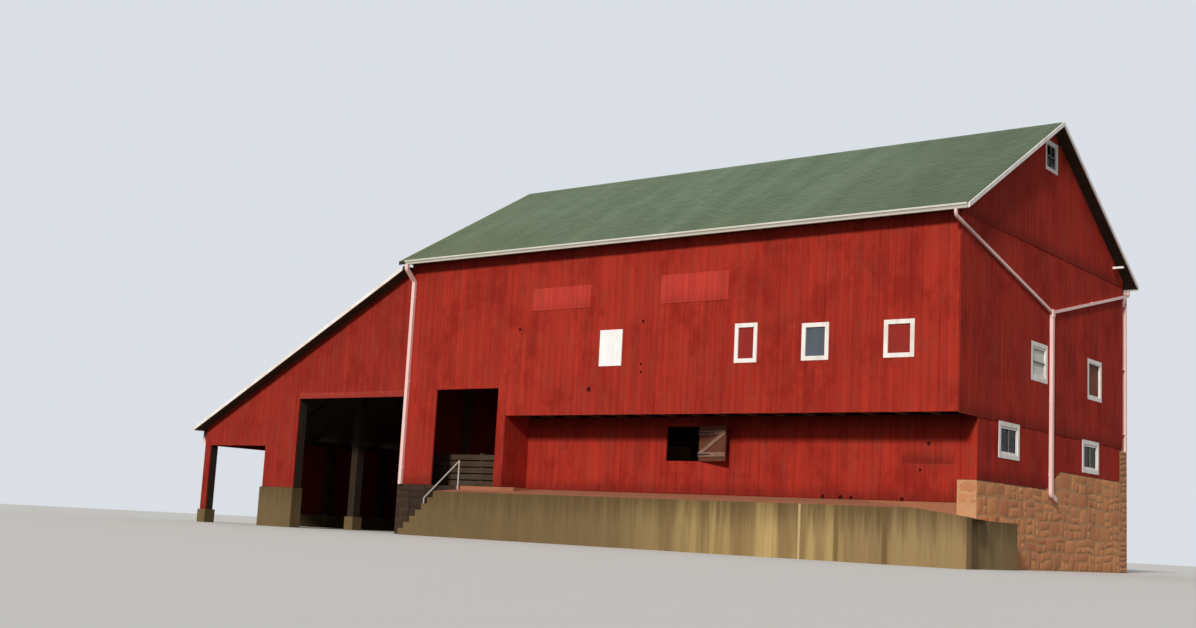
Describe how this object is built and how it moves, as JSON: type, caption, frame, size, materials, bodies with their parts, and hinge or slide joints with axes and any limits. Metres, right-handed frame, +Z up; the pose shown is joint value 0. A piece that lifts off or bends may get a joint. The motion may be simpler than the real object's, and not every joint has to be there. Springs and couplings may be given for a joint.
{
  "type": "forebay barn with lean-to",
  "caption": "Timber-framed bank barn with an overhanging forebay, gable roof, stone foundations, raised concrete apron and an open-fronted lean-to on one end.",
  "frame": {"origin": "centre of the building's footprint box at the lowest ground level", "axes": "+X along the ridge towards the plain gable, -Y out of the overhanging front, +Z up"},
  "size_m": [29.325, 12.795, 12.0177],
  "materials": {
    "red_boards": "upright boards, sun-worn red barn paint with dark streaks",
    "timber": "sawn and hewn timber, aged brown",
    "bare_boards": "weathered bare boards",
    "white_wood": "white trim paint, aged",
    "roofing": "green mineral-faced shingles on a board deck",
    "gutter_metal": "cream-white paint, weathered",
    "rail_paint": "worn white paint on pipe",
    "stone": "rubble stone with lime mortar",
    "concrete": "board-marked concrete, streaked and weathered",
    "glass": "window glass"
  },
  "bodies": {
    "root": {"gable_foundation": "stone", "rear_foundation": "stone", "left_foundation": "stone", "front_foundation": "stone", "door_cross_foundation": "stone", "lean_to_footings": "stone", "lean_to_rear_foundation": "stone", "apron_wall": "concrete", "apron_slab": "concrete", "apron_steps": "concrete", "stable_floor": "concrete", "step_handrail": "rail_paint", "front_upper_wall": "red_boards", "front_left_wall": "red_boards", "front_wall_over_door": "red_boards", "lower_front_wall": "red_boards", "forebay_return_wall": "red_boards", "gable_upper_wall": "red_boards", "gable_lower_wall": "red_boards", "left_gable_wall": "red_boards", "rear_upper_wall": "red_boards", "lean_to_front_wall": "red_boards", "lean_to_side_wall": "red_boards", "lean_to_rear_wall": "red_boards", "window_boards": "red_boards", "stable_posts": "timber", "floor_girders": "timber", "forebay_joists": "timber", "floor_sills": "timber", "loft_floor": "timber", "frame_posts": "timber", "tie_beams": "timber", "wall_plates": "timber", "roof_purlins": "timber", "purlin_posts": "timber", "frame_braces": "timber", "main_rafters": "timber", "ridge_beam": "timber", "lean_to_posts": "timber", "lean_to_beams": "timber", "lean_to_rafters": "timber", "guard_boards": "timber", "main_roof_front": "roofing", "main_roof_rear": "roofing", "lean_to_roof": "roofing", "ridge_cap": "roofing", "rake_boards": "white_wood", "rake_lookout": "white_wood", "lean_to_rake_boards": "white_wood", "window_frames": "white_wood", "white_panel": "white_wood", "eave_gutters": "gutter_metal", "gable_downspout": "gutter_metal", "left_downspout": "gutter_metal", "rear_downspout": "gutter_metal", "lean_to_downspout": "gutter_metal", "window_glass": "glass", "hatch_shutter": "bare_boards"}
  },
  "joints": []
}
